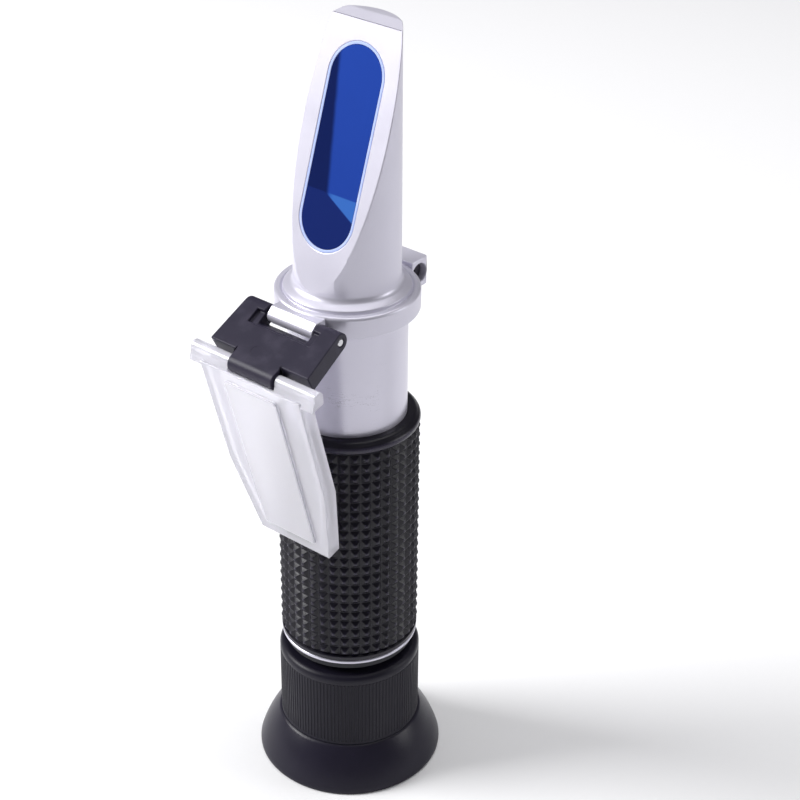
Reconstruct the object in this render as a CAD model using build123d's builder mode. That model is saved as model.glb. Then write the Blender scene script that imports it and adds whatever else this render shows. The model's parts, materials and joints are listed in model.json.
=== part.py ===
"""Hand-held brix refractometer with a focusing eyecup and a hinged daylight plate.

The tube's axis is +Z. The origin is the centre of the eyecup's rim, which the tool stands on.
The slanted prism face and the hinge look towards -Y, and the hinge pins run along X.
"""
from build123d import *
import os
from math import cos, radians, sin, sqrt, tan

os.makedirs("parts", exist_ok=True)

# ---------------------------------------------------------------- driving dimensions, mm
RIM_R = 20.0  # eyecup rim
SLEEVE_R = 15.15  # ribbed sleeve of the eyecup
FLARE_TOP = 9.9  # height where the flare meets the sleeve
CUP_TOP = 28.4
CUP_WALL = 1.6

TUBE_R = 12.0
TUBE_BORE_R = 11.0
TUBE_BOTTOM = 29.9
TUBE_TOP = 109.65
GRIP_R = 14.75
GRIP_BOTTOM = 32.45
GRIP_TOP = 86.35

COLLAR_R = 14.43
COLLAR_BOTTOM = 109.7
COLLAR_TOP = 114.3
DISC_R = 12.6
DISC_TOP = 115.5
SPIGOT_R = 10.93
SPIGOT_BOTTOM = 101.0
NOSE_BASE_R = 10.62
NOSE_TOP_R = 10.32
NOSE_TOP = 167.04
HEAD_BORE_R = 10.0

SLOPE = 18.58  # degrees between the slanted face and the axis
CHORD_Y = 5.955  # upper edge of the slanted face
CHORD_Z = 165.954
BEVEL_Y = 7.926  # where the small bevel above that edge meets the flat top
WINDOW_W = 12.2
WINDOW_LENGTH = 38.9
WINDOW_TOP_GAP = 4.45  # from the upper edge to the window, along the slope
WINDOW_WALL = 1.2
SEAL_W = 0.6
PRISM_R = 9.15
PRISM_HALF_W = 6.85
PRISM_BOTTOM = 119.0
PRISM_TOP = 163.4

PIN1_Y = -15.5
PIN1_Z = 111.9
PIN1_R = 0.8
PIN2_R = 0.75
PIN2_HALF_LENGTH = 10.5
PIN_CHAMFER = 0.15
RUN_GAP = 0.04  # radial clearance of a turning pin
LINK_SWING = 136.0  # degrees from open to closed
PLATE_SWING = 78.1
LINK_PITCH = 12.3  # pin to pin
LINK_HALF_T = 1.9
LINK_SHOULDER = 10.4
LINK_EAR_HALF_W = 11.75
LINK_END_HALF_W = 12.45
LUG_HALF_W = 5.8
LUG_HALF_T = 2.0
LUG_NOSE_R = 1.45
NOTCH_HALF_W = 6.1
KNUCKLE_HALF_W = 5.7
EAR_POCKET = 1.8  # how far the clearance pockets reach into each ear

PLATE_LENGTH = 45.4
PLATE_KINK = 26.8
PLATE_HALF_W = 12.8
PLATE_TIP_HALF_W = 9.2
FLANGE_HALF_W = 15.9
BARREL_R = 1.3
PLATE_GAP_HALF_W = 6.0
RIM_FACE = 2.4  # offsets from the pin's axis, towards the prism side
PANEL_BACK = 0.9
WALL_BACK = -0.9
WALL_T = 2.0
PAD_HALF_W = 6.7
PAD_START = 3.2
PAD_END = 42.0
FACE_GAP = 0.1  # between the closed pad and the prism

BOSS_HALF_W = 5.2
BOSS_OUT = 18.6
BOSS_BOTTOM = 109.0
BOSS_TOP = 115.2
SCREW_Y = 15.9
SCREW_Z = 112.1
SCREW_HEAD_R = 2.0
SCREW_HEAD_X = 3.8  # outer face of the sunk head
SCREW_HEAD_T = 1.6
SCREW_END_X = -3.8
SCREW_R = 1.45
WAIST_HALF = 1.9  # half the length of the screw's conical waist
TONGUE_HALF_W = 1.5  # the carrier's tongue, which the waist wedges
TONGUE_END = 14.45
TONGUE_PLAY = 0.35

CARRIER_R = 9.4
CARRIER_WALL = 1.4
CARRIER_BOTTOM = 110.7
CARRIER_TOP = 113.4
SPRING_T = 0.2
SPRING_BOTTOM = 111.2
SPRING_H = 1.6
STRIP_Y = 7.0
STRIP_T = 0.5
STRIP_W = 5.0
CLAMP_R = 0.5  # the two small screws on the bimetal strip
CLAMP_HEAD_R = 1.0
CLAMP_HEAD_T = 0.8
CLAMP_HIGH_Z = 112.0
CLAMP_LOW_Z = 93.5
CELL_BOTTOM = 91.0
CELL_TOP = 96.0
CELL_OUT_R = 6.7
CELL_IN_R = 5.6
CELL_SEAT_R = 4.8
CELL_SEAT_T = 0.6
OBJECTIVE_R = 5.55
OBJECTIVE_EDGE = 1.6
OBJECTIVE_BULGE = 0.7

BAFFLE_Z = 75.0
BAFFLE_IN_R = 6.0
SCALE_BOTTOM = 57.0
SCALE_TOP = 62.0
SCALE_SEAT_Z = 58.5
SCALE_IN_R = 7.6
SCALE_GLASS_R = 8.55
SCALE_GLASS_T = 1.5

GUIDE_Z = 48.5
GUIDE_R = 0.75
GUIDE_LENGTH = 2.2
BARREL_OUT_R = 10.93
BARREL_IN_R = 9.6
BARREL_BOTTOM = 10.0
BARREL_TOP = 44.0
CUP_SEAT_R = 13.0
CUP_SEAT_TOP = 26.5
O_RING_Z = 40.0
O_RING_R = 0.42
O_RING_GROOVE_R = 10.1
LENS_CELL_R = 9.5
LENS_CELL_BORE_R = 8.3
LENS_CELL_BOTTOM = 13.65
LENS_CELL_TOP = 51.0
LENS_SEAT_T = 0.8
LENS_SEAT_R = 7.2
LENS_R = 8.25
LENS_EDGE = 1.4
LENS_BULGE = 1.4
LENS_SPACING = 18.4  # from the edge of one eyepiece lens to that of the other
SPACER_IN_R = 7.3
RING_H = 1.6
RETAINER_H = 2.0
TOUCH = 0.02  # gap left between pieces that rest on each other

# ---------------------------------------------------------------- planes worked out from them
UP_SLOPE = 90.0 - SLOPE  # direction angle of the slanted face in the YZ plane
LINK_ANGLE = UP_SLOPE + LINK_SWING
PLATE_ANGLE = UP_SLOPE + LINK_SWING + PLATE_SWING


def direction(angle):
    """Unit vector in the YZ plane, angle counted from +Y towards +Z."""
    return Vector(0, cos(radians(angle)), sin(radians(angle)))


PIN1 = Vector(0, PIN1_Y, PIN1_Z)
PIN2 = PIN1 + direction(LINK_ANGLE) * LINK_PITCH
SLOPE_PLANE = Plane(origin=(0, CHORD_Y, CHORD_Z), x_dir=(1, 0, 0), z_dir=direction(180 - SLOPE))
LINK_SIDE = Plane(origin=PIN1, x_dir=direction(LINK_ANGLE), z_dir=(-1, 0, 0))
LINK_TOP = Plane(origin=PIN1, x_dir=direction(LINK_ANGLE), z_dir=direction(LINK_ANGLE - 90))
PLATE_SIDE = Plane(origin=PIN2, x_dir=direction(PLATE_ANGLE), z_dir=(-1, 0, 0))
PLATE_FACE = Plane(origin=PIN2, x_dir=(1, 0, 0), z_dir=direction(PLATE_ANGLE - 90))
# the pad's face ends up FACE_GAP away from the slanted face when both hinges are closed
PAD_FACE = (PIN1 - SLOPE_PLANE.origin).dot(SLOPE_PLANE.z_dir) - FACE_GAP


def save(piece, label):
    """Label a finished piece and write its STEP file."""
    piece.part.label = label
    export_step(piece.part, f"parts/{label}.step")


def make_ring(outer, inner, bottom, height, label):
    """Plain ring round the tube's axis."""
    with BuildPart() as ring:
        with BuildSketch(Plane.XY.offset(bottom)):
            Circle(outer)
            Circle(inner, mode=Mode.SUBTRACT)
        extrude(amount=height)
    save(ring, label)


def make_lens(radius, edge_bottom, edge_height, bulge, label):
    """Lens with the same bulge on both sides."""
    edge_top = edge_bottom + edge_height
    ball_r = (radius**2 + bulge**2) / (2 * bulge)
    bend = ball_r - sqrt(ball_r**2 - (radius / 2) ** 2)
    with BuildPart() as lens:
        with BuildSketch(Plane.XZ):
            with BuildLine():
                bottom = edge_bottom - bulge
                top = edge_top + bulge
                ThreePointArc((0, bottom), (radius / 2, bottom + bend), (radius, edge_bottom))
                Line((radius, edge_bottom), (radius, edge_top))
                ThreePointArc((radius, edge_top), (radius / 2, top - bend), (0, top))
                Line((0, top), (0, bottom))
            make_face()
        revolve(axis=Axis.Z)
    save(lens, label)


def rise_at(radius, bulge, at_radius):
    """How far a lens surface stands above its edge at a given radius."""
    ball_r = (radius**2 + bulge**2) / (2 * bulge)
    return bulge - ball_r + sqrt(ball_r**2 - at_radius**2)


# ---------------------------------------------------------------- prism head
SEAL_DEPTH = 0.6
CAVITY_TOP = PRISM_TOP + 0.2
CAVITY_BOTTOM = 114.0
SLOT_HEIGHT = CARRIER_TOP - CARRIER_BOTTOM + 2 * TONGUE_PLAY
window_middle = -(WINDOW_TOP_GAP + WINDOW_LENGTH / 2)


def behind_face(radius, half_width, bottom, top, depth):
    """Round-backed bar that ends on a plane parallel to the slanted face."""
    with BuildPart() as bar:
        with BuildSketch(Plane.XY.offset(bottom)):
            Circle(radius)
            Rectangle(2 * half_width, 4 * radius, mode=Mode.INTERSECT)
        extrude(amount=top - bottom)
        split(bisect_by=SLOPE_PLANE.offset(-depth), keep=Keep.BOTTOM)
    return bar.part


with BuildPart() as prism_head:
    with BuildSketch(Plane.XZ):
        with BuildLine():
            Polyline(
                (HEAD_BORE_R, SPIGOT_BOTTOM),
                (SPIGOT_R, SPIGOT_BOTTOM),
                (SPIGOT_R, COLLAR_BOTTOM),
                (COLLAR_R - 0.5, COLLAR_BOTTOM),
                (COLLAR_R, COLLAR_BOTTOM + 0.5),
                (COLLAR_R, COLLAR_TOP - 0.4),
            )
            RadiusArc((COLLAR_R, COLLAR_TOP - 0.4), (COLLAR_R - 0.4, COLLAR_TOP), -0.4)
            Polyline(
                (COLLAR_R - 0.4, COLLAR_TOP),
                (DISC_R + 0.3, COLLAR_TOP),
                (DISC_R + 0.15, COLLAR_TOP - 0.25),
                (DISC_R, COLLAR_TOP),
                (DISC_R, COLLAR_TOP + 0.35),
                (DISC_R - 1.1, DISC_TOP),
            )
            RadiusArc((DISC_R - 1.1, DISC_TOP), (NOSE_BASE_R, DISC_TOP + 0.9), 0.95)
            Polyline(
                (NOSE_BASE_R, DISC_TOP + 0.9),
                (NOSE_TOP_R, NOSE_TOP - 0.3),
                (NOSE_TOP_R - 0.3, NOSE_TOP),
                (0, NOSE_TOP),
                (0, CAVITY_BOTTOM),
                (HEAD_BORE_R, CAVITY_BOTTOM),
                (HEAD_BORE_R, SPIGOT_BOTTOM),
            )
        make_face()
    revolve(axis=Axis.Z)
    # hinge lug with a round nose about the upper pin
    with BuildSketch(Plane.YZ):
        with Locations((PIN1_Y, PIN1_Z)):
            Circle(LUG_NOSE_R)
        with BuildLine():
            Polyline(
                (PIN1_Y + 4.0, PIN1_Z - LUG_HALF_T),
                (PIN1_Y + 4.0, PIN1_Z + LUG_HALF_T),
                (PIN1_Y, PIN1_Z + LUG_HALF_T),
                (PIN1_Y - 0.7, PIN1_Z + 1.25),
                (PIN1_Y - 0.7, PIN1_Z - 1.25),
                (PIN1_Y, PIN1_Z - LUG_HALF_T),
                close=True,
            )
        make_face()
    extrude(amount=LUG_HALF_W, both=True)
    # screw boss, raised behind the collar
    with BuildSketch(Plane.XY.offset(BOSS_BOTTOM)):
        with Locations((0, (BOSS_OUT + TUBE_R + 0.3) / 2)):
            Rectangle(2 * BOSS_HALF_W, BOSS_OUT - TUBE_R - 0.3)
    extrude(amount=COLLAR_TOP - BOSS_BOTTOM)
    with BuildSketch(Plane.XY.offset(COLLAR_TOP)):
        with Locations((0, (BOSS_OUT + DISC_R + 1.0) / 2)):
            Rectangle(2 * BOSS_HALF_W, BOSS_OUT - DISC_R - 1.0)
    extrude(amount=BOSS_TOP - COLLAR_TOP)
    outer_corners = prism_head.edges().filter_by(Axis.Z).filter_by(lambda e: e.center().Y > BOSS_OUT - 0.1)
    fillet(outer_corners, radius=0.6)
    # slanted face and the small bevel above it
    with BuildSketch(Plane.YZ):
        with BuildLine():
            foot_z = DISC_TOP + 1.0
            foot_y = CHORD_Y - (CHORD_Z - foot_z) * tan(radians(SLOPE))
            Polyline(
                (foot_y, foot_z),
                (-RIM_R, foot_z),
                (-RIM_R, NOSE_TOP + 2.0),
                (BEVEL_Y, NOSE_TOP + 2.0),
                (BEVEL_Y, NOSE_TOP),
                (CHORD_Y, CHORD_Z),
                close=True,
            )
        make_face()
    extrude(amount=RIM_R, both=True, mode=Mode.SUBTRACT)
    # prism cavity, window and the bevelled groove that holds its seal
    add(
        behind_face(PRISM_R + 0.05, PRISM_HALF_W + 0.05, CAVITY_BOTTOM - 1.0, CAVITY_TOP, WINDOW_WALL),
        mode=Mode.SUBTRACT,
    )
    with BuildSketch(SLOPE_PLANE):
        with Locations((0, window_middle)):
            SlotOverall(WINDOW_LENGTH, WINDOW_W, rotation=90)
    extrude(amount=-2 * WINDOW_WALL, mode=Mode.SUBTRACT)
    with BuildSketch(SLOPE_PLANE):
        with Locations((0, window_middle)):
            SlotOverall(WINDOW_LENGTH + 2 * SEAL_W, WINDOW_W + 2 * SEAL_W, rotation=90)
    extrude(amount=-SEAL_DEPTH, taper=45, mode=Mode.SUBTRACT)
    # upper pin hole
    with BuildSketch(Plane.YZ):
        with Locations((PIN1_Y, PIN1_Z)):
            Circle(PIN1_R)
    extrude(amount=LUG_HALF_W, both=True, mode=Mode.SUBTRACT)
    # calibration screw: sunk head at +X, threaded hole, and the slot for the carrier's tongue
    with BuildSketch(Plane.YZ.offset(BOSS_HALF_W)):
        with Locations((SCREW_Y, SCREW_Z)):
            Circle(SCREW_HEAD_R + 0.2)
    extrude(amount=SCREW_HEAD_X - SCREW_HEAD_T - BOSS_HALF_W - 0.2, mode=Mode.SUBTRACT)
    with BuildSketch(Plane.YZ.offset(SCREW_END_X - 0.2)):
        with Locations((SCREW_Y, SCREW_Z)):
            Circle(SCREW_R + 0.05)
    extrude(amount=BOSS_HALF_W - SCREW_END_X, mode=Mode.SUBTRACT)
    with BuildSketch(Plane.XY.offset(CARRIER_BOTTOM - TONGUE_PLAY)):
        with Locations((0, SCREW_Y - 3.4)):
            Rectangle(2 * TONGUE_HALF_W + 0.8, 6.8)
    extrude(amount=SLOT_HEIGHT, mode=Mode.SUBTRACT)
save(prism_head, "prism_head")

# ---------------------------------------------------------------- prism and its seal
with BuildPart() as measuring_prism:
    add(behind_face(PRISM_R, PRISM_HALF_W, PRISM_BOTTOM, PRISM_TOP, WINDOW_WALL + 0.05))
    with BuildSketch(SLOPE_PLANE.offset(-WINDOW_WALL - 0.1)):
        with Locations((0, window_middle)):
            SlotOverall(WINDOW_LENGTH - 0.1, WINDOW_W - 0.1, rotation=90)
    extrude(amount=WINDOW_WALL + 0.05)
save(measuring_prism, "measuring_prism")

with BuildPart() as prism_seal:
    with BuildSketch(SLOPE_PLANE):
        with Locations((0, window_middle)):
            SlotOverall(WINDOW_LENGTH + 2 * SEAL_W, WINDOW_W + 2 * SEAL_W, rotation=90)
    extrude(amount=-SEAL_DEPTH + 0.05, taper=45)
    with BuildSketch(SLOPE_PLANE):
        with Locations((0, window_middle)):
            SlotOverall(WINDOW_LENGTH, WINDOW_W, rotation=90)
    extrude(amount=-SEAL_DEPTH, mode=Mode.SUBTRACT)
save(prism_seal, "prism_seal")

# ---------------------------------------------------------------- link and hinge pins
with BuildPart() as hinge_link:
    with BuildSketch(LINK_SIDE):
        Circle(LINK_HALF_T)
        with Locations((LINK_SHOULDER / 2, 0)):
            Rectangle(LINK_SHOULDER, 2 * LINK_HALF_T)
    extrude(amount=LINK_END_HALF_W, both=True)
    # the plan widens a little from the ears to the shoulders
    with BuildSketch(LINK_TOP.offset(-LINK_HALF_T)):
        with BuildLine():
            Polyline(
                (-LINK_HALF_T, -LINK_EAR_HALF_W),
                (LINK_SHOULDER, -LINK_END_HALF_W),
                (LINK_SHOULDER, LINK_END_HALF_W),
                (-LINK_HALF_T, LINK_EAR_HALF_W),
                close=True,
            )
        make_face()
    extrude(amount=2 * LINK_HALF_T, mode=Mode.INTERSECT)
    shoulder_edges = hinge_link.edges().filter_by(Axis.X).sort_by(Axis.Y)[:2]
    chamfer(shoulder_edges, length=0.5)
    with BuildSketch(LINK_SIDE):
        with Locations((LINK_PITCH, 0)):
            Circle(LINK_HALF_T)
        with Locations(((LINK_SHOULDER + LINK_PITCH) / 2 - 0.5, 0)):
            Rectangle(LINK_PITCH - LINK_SHOULDER + 1.0, 2 * LINK_HALF_T)
    extrude(amount=KNUCKLE_HALF_W, both=True)
    # notch for the lug: wrapped round its nose below, and ramped above to clear the collar when closed
    with BuildSketch(LINK_SIDE):
        with BuildLine():
            Polyline(
                (-2.3, -2.3),
                (1.3, -2.3),
                (1.3, -1.9),
                (1.66, -1.62),
                (2.02, -1.15),
                (2.25, -0.6),
                (2.75, 0.0),
                (4.1, 1.9),
                (4.1, 2.3),
                (-2.3, 2.3),
                close=True,
            )
        make_face()
    extrude(amount=NOTCH_HALF_W, both=True, mode=Mode.SUBTRACT)
    # pockets in the ears that clear the collar's rim
    with BuildSketch(LINK_SIDE):
        with Locations((2.45, 1.7)):
            Rectangle(3.3, 1.2)
    extrude(amount=NOTCH_HALF_W + EAR_POCKET, both=True, mode=Mode.SUBTRACT)
    # shallow ejector mark
    with BuildSketch(LINK_TOP.offset(LINK_HALF_T)):
        with Locations((9.3, -1.6)):
            Circle(1.1)
    extrude(amount=-0.12, mode=Mode.SUBTRACT)
    with BuildSketch(LINK_SIDE):
        Circle(PIN1_R + RUN_GAP)
    extrude(amount=LINK_END_HALF_W, both=True, mode=Mode.SUBTRACT)
    with BuildSketch(LINK_SIDE):
        with Locations((LINK_PITCH, 0)):
            Circle(PIN2_R)
    extrude(amount=LINK_END_HALF_W, both=True, mode=Mode.SUBTRACT)
save(hinge_link, "hinge_link")

with BuildPart() as upper_hinge_pin:
    with BuildSketch(LINK_SIDE):
        Circle(PIN1_R)
    extrude(amount=LINK_EAR_HALF_W, both=True)
    chamfer(upper_hinge_pin.edges().filter_by(GeomType.CIRCLE), length=PIN_CHAMFER)
save(upper_hinge_pin, "upper_hinge_pin")

with BuildPart() as lower_hinge_pin:
    with BuildSketch(PLATE_SIDE):
        Circle(PIN2_R)
    extrude(amount=PIN2_HALF_LENGTH, both=True)
    chamfer(lower_hinge_pin.edges().filter_by(GeomType.CIRCLE), length=PIN_CHAMFER)
save(lower_hinge_pin, "lower_hinge_pin")

# ---------------------------------------------------------------- daylight plate
INNER_HALF_W = PLATE_HALF_W - WALL_T
INNER_TIP_HALF_W = PLATE_TIP_HALF_W - WALL_T


def plate_outline(half_width, tip_half_width, start):
    """Face-on outline of the plate below a given distance from the pin."""
    Polyline(
        (-half_width, -start),
        (-half_width, -PLATE_KINK),
        (-tip_half_width, -PLATE_LENGTH),
        (tip_half_width, -PLATE_LENGTH),
        (half_width, -PLATE_KINK),
        (half_width, -start),
        close=True,
    )


with BuildPart() as daylight_plate:
    with BuildSketch(PLATE_FACE.offset(PANEL_BACK)):
        with BuildLine():
            plate_outline(PLATE_HALF_W, PLATE_TIP_HALF_W, 1.0)
        make_face()
    extrude(amount=RIM_FACE - PANEL_BACK)
    with BuildSketch(PLATE_FACE.offset(WALL_BACK)):
        with BuildLine():
            plate_outline(PLATE_HALF_W, PLATE_TIP_HALF_W, 1.0)
        make_face()
        with BuildLine():
            plate_outline(INNER_HALF_W, INNER_TIP_HALF_W, 0.0)
        make_face(mode=Mode.SUBTRACT)
    extrude(amount=RIM_FACE - WALL_BACK)
    # barrels with a web that runs into the panel
    with BuildSketch(PLATE_SIDE):
        Circle(BARREL_R)
        with BuildLine():
            Polyline((0, -BARREL_R), (0, BARREL_R), (1.9, RIM_FACE), (1.9, WALL_BACK), close=True)
        make_face()
    extrude(amount=FLANGE_HALF_W, both=True)
    # gap for the link's knuckle
    with BuildSketch(PLATE_SIDE):
        Circle(LINK_HALF_T + 0.3)
        with Locations((-1.5, 0)):
            Rectangle(3.0, 2 * LINK_HALF_T + 0.6)
    extrude(amount=PLATE_GAP_HALF_W, both=True, mode=Mode.SUBTRACT)
    # raised pad that spreads the sample
    with BuildSketch(PLATE_FACE.offset(RIM_FACE)):
        with Locations((0, -(PAD_START + PAD_END) / 2)):
            RectangleRounded(2 * PAD_HALF_W, PAD_END - PAD_START, 0.8)
    extrude(amount=PAD_FACE - RIM_FACE)
    with BuildSketch(PLATE_SIDE):
        Circle(PIN2_R + RUN_GAP)
    extrude(amount=PIN2_HALF_LENGTH + 0.2, both=True, mode=Mode.SUBTRACT)
save(daylight_plate, "daylight_plate")

# ---------------------------------------------------------------- calibration screw
with BuildPart() as calibration_screw:
    with BuildSketch(Plane.YZ.offset(SCREW_HEAD_X)):
        with Locations((SCREW_Y, SCREW_Z)):
            Circle(SCREW_HEAD_R)
    extrude(amount=-SCREW_HEAD_T)
    with BuildSketch(Plane.YZ.offset(SCREW_END_X)):
        with Locations((SCREW_Y, SCREW_Z)):
            Circle(SCREW_R)
    extrude(amount=SCREW_HEAD_X - SCREW_HEAD_T - SCREW_END_X)
    # conical waist that wedges the carrier's tongue
    with BuildSketch(Plane.XY.offset(SCREW_Z)):
        with BuildLine():
            Polyline(
                (-WAIST_HALF, SCREW_Y + SCREW_R - 0.05),
                (WAIST_HALF, SCREW_Y + 0.8),
                (WAIST_HALF, SCREW_Y + 2 * SCREW_R),
                (-WAIST_HALF, SCREW_Y + 2 * SCREW_R),
                close=True,
            )
        make_face()
    revolve(axis=Axis((0, SCREW_Y, SCREW_Z), (1, 0, 0)), mode=Mode.SUBTRACT)
    # screwdriver slot
    with BuildSketch(Plane.YZ.offset(SCREW_HEAD_X)):
        with Locations((SCREW_Y, SCREW_Z)):
            Rectangle(0.6, 2.2 * SCREW_HEAD_R)
    extrude(amount=-0.8, mode=Mode.SUBTRACT)
save(calibration_screw, "calibration_screw")

# ---------------------------------------------------------------- objective group
tongue_root = CARRIER_R - 0.2
pad_face = STRIP_Y + STRIP_T
with BuildPart() as lens_carrier:
    with BuildSketch(Plane.XY.offset(CARRIER_BOTTOM)):
        Circle(CARRIER_R)
        Circle(CARRIER_R - CARRIER_WALL, mode=Mode.SUBTRACT)
        # flat that the strip is screwed to, and the tongue behind it
        with Locations((0, (pad_face + tongue_root) / 2)):
            Rectangle(STRIP_W + 1.0, tongue_root - pad_face)
        with Locations((0, (tongue_root + TONGUE_END) / 2)):
            Rectangle(2 * TONGUE_HALF_W, TONGUE_END - tongue_root)
    extrude(amount=CARRIER_TOP - CARRIER_BOTTOM)
    with BuildSketch(Plane.XZ.offset(-pad_face)):
        with Locations((0, CLAMP_HIGH_Z)):
            Circle(CLAMP_R)
    extrude(amount=-1.5, mode=Mode.SUBTRACT)
save(lens_carrier, "lens_carrier")

with BuildPart() as carrier_spring:
    with BuildSketch(Plane.XY.offset(SPRING_BOTTOM)):
        Circle(CARRIER_R + 0.22 + SPRING_T)
        Circle(CARRIER_R + 0.22, mode=Mode.SUBTRACT)
        with Locations((0, -HEAD_BORE_R)):
            Rectangle(9.0, 8.0, mode=Mode.INTERSECT)
        # stud that fixes the spring to the bore
        with Locations((0, -HEAD_BORE_R + 0.11)):
            Rectangle(4 * SPRING_T, SPRING_T)
    extrude(amount=SPRING_H)
save(carrier_spring, "carrier_spring")

strip_length = CARRIER_TOP - CELL_BOTTOM - 0.5
with BuildPart() as bimetal_strip:
    with BuildSketch(Plane.XZ.offset(-STRIP_Y)):
        with Locations((0, CARRIER_TOP - strip_length / 2)):
            Rectangle(STRIP_W, strip_length)
        with Locations((0, CLAMP_HIGH_Z), (0, CLAMP_LOW_Z)):
            Circle(CLAMP_R, mode=Mode.SUBTRACT)
    extrude(amount=-STRIP_T)
save(bimetal_strip, "bimetal_strip")

with BuildPart() as objective_cell:
    with BuildSketch(Plane.XY.offset(CELL_BOTTOM)):
        Circle(CELL_OUT_R)
        # flat that the strip is screwed to
        with Locations((0, STRIP_Y - 1.25)):
            Rectangle(STRIP_W + 1.0, 2.5)
        Circle(CELL_IN_R, mode=Mode.SUBTRACT)
    extrude(amount=CELL_TOP - CELL_BOTTOM)
    with BuildSketch(Plane.XY.offset(CELL_BOTTOM)):
        Circle(CELL_IN_R + 0.2)
        Circle(CELL_SEAT_R, mode=Mode.SUBTRACT)
    extrude(amount=CELL_SEAT_T)
    with BuildSketch(Plane.XZ.offset(-STRIP_Y)):
        with Locations((0, CLAMP_LOW_Z)):
            Circle(CLAMP_R)
    extrude(amount=1.2, mode=Mode.SUBTRACT)
save(objective_cell, "objective_cell")

with BuildPart() as bimetal_screws:
    # the high screw goes in from the axis, the low one from outside
    with BuildSketch(Plane.XZ.offset(-STRIP_Y)):
        with Locations((0, CLAMP_HIGH_Z)):
            Circle(CLAMP_HEAD_R)
    extrude(amount=CLAMP_HEAD_T)
    with BuildSketch(Plane.XZ.offset(-STRIP_Y)):
        with Locations((0, CLAMP_HIGH_Z)):
            Circle(CLAMP_R)
    extrude(amount=-1.9)
    with BuildSketch(Plane.XZ.offset(-pad_face)):
        with Locations((0, CLAMP_LOW_Z)):
            Circle(CLAMP_HEAD_R)
    extrude(amount=-CLAMP_HEAD_T)
    with BuildSketch(Plane.XZ.offset(-pad_face)):
        with Locations((0, CLAMP_LOW_Z)):
            Circle(CLAMP_R)
    extrude(amount=1.6)
save(bimetal_screws, "bimetal_screws")

objective_rise = rise_at(OBJECTIVE_R, OBJECTIVE_BULGE, CELL_SEAT_R)
objective_edge = CELL_BOTTOM + CELL_SEAT_T + objective_rise + TOUCH
objective_top = objective_edge + OBJECTIVE_EDGE + objective_rise + TOUCH
make_lens(OBJECTIVE_R, objective_edge, OBJECTIVE_EDGE, OBJECTIVE_BULGE, "objective_lens")
make_ring(CELL_IN_R - TOUCH, CELL_SEAT_R, objective_top, RING_H, "objective_retaining_ring")

# ---------------------------------------------------------------- tube, grip and rings
with BuildPart() as main_tube:
    with BuildSketch(Plane.XY.offset(TUBE_BOTTOM)):
        Circle(TUBE_R)
        Circle(TUBE_BORE_R, mode=Mode.SUBTRACT)
    extrude(amount=TUBE_TOP - TUBE_BOTTOM)
    with BuildSketch(Plane.XZ.offset(-TUBE_BORE_R + 1.0)):
        with Locations((0, GUIDE_Z)):
            Circle(GUIDE_R)
    extrude(amount=-3.0, mode=Mode.SUBTRACT)
save(main_tube, "main_tube")

with BuildPart() as grip_sleeve:
    with BuildSketch(Plane.XY.offset(GRIP_BOTTOM)):
        Circle(GRIP_R)
        Circle(TUBE_R + 0.02, mode=Mode.SUBTRACT)
    extrude(amount=GRIP_TOP - GRIP_BOTTOM)
    lip = grip_sleeve.edges().filter_by(GeomType.CIRCLE).group_by(Axis.Z)[-1].sort_by(SortBy.RADIUS)[-1]
    fillet(lip, radius=1.2)
save(grip_sleeve, "grip_sleeve")

make_ring(14.5, TUBE_R + 0.02, 31.6, 0.8, "trim_ring")
make_ring(13.7, TUBE_R + 0.02, TUBE_BOTTOM, 1.65, "stop_ring")
make_ring(SPIGOT_R, BAFFLE_IN_R, BAFFLE_Z, 1.5, "light_baffle")

# ---------------------------------------------------------------- scale glass
with BuildPart() as reticle_holder:
    with BuildSketch(Plane.XY.offset(SCALE_BOTTOM)):
        Circle(SPIGOT_R)
        Circle(SCALE_IN_R, mode=Mode.SUBTRACT)
    extrude(amount=SCALE_TOP - SCALE_BOTTOM)
    with BuildSketch(Plane.XY.offset(SCALE_SEAT_Z)):
        Circle(SCALE_GLASS_R + 0.05)
    extrude(amount=SCALE_TOP - SCALE_SEAT_Z, mode=Mode.SUBTRACT)
save(reticle_holder, "reticle_holder")

make_ring(SCALE_GLASS_R + 0.03, SCALE_IN_R, SCALE_SEAT_Z + SCALE_GLASS_T, RING_H, "reticle_retaining_ring")
with BuildPart() as reticle_glass:
    with BuildSketch(Plane.XY.offset(SCALE_SEAT_Z)):
        Circle(SCALE_GLASS_R)
    extrude(amount=SCALE_GLASS_T)
save(reticle_glass, "reticle_glass")

# ---------------------------------------------------------------- eyepiece
with BuildPart() as guide_pin:
    with BuildSketch(Plane.XZ.offset(-TUBE_R + GUIDE_LENGTH)):
        with Locations((0, GUIDE_Z)):
            Circle(GUIDE_R)
    extrude(amount=-GUIDE_LENGTH)
save(guide_pin, "guide_pin")

with BuildPart() as focus_barrel:
    with BuildSketch(Plane.XY.offset(BARREL_BOTTOM)):
        Circle(CUP_SEAT_R)
    extrude(amount=CUP_SEAT_TOP - BARREL_BOTTOM)
    with BuildSketch(Plane.XY.offset(BARREL_BOTTOM)):
        Circle(BARREL_OUT_R)
    extrude(amount=BARREL_TOP - BARREL_BOTTOM)
    with BuildSketch(Plane.XY.offset(BARREL_BOTTOM)):
        Circle(BARREL_IN_R)
    extrude(amount=BARREL_TOP - BARREL_BOTTOM, mode=Mode.SUBTRACT)
    with BuildSketch(Plane.XY.offset(O_RING_Z - 0.5)):
        Circle(BARREL_OUT_R + 1.0)
        Circle(O_RING_GROOVE_R, mode=Mode.SUBTRACT)
    extrude(amount=1.0, mode=Mode.SUBTRACT)
save(focus_barrel, "focus_barrel")

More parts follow.
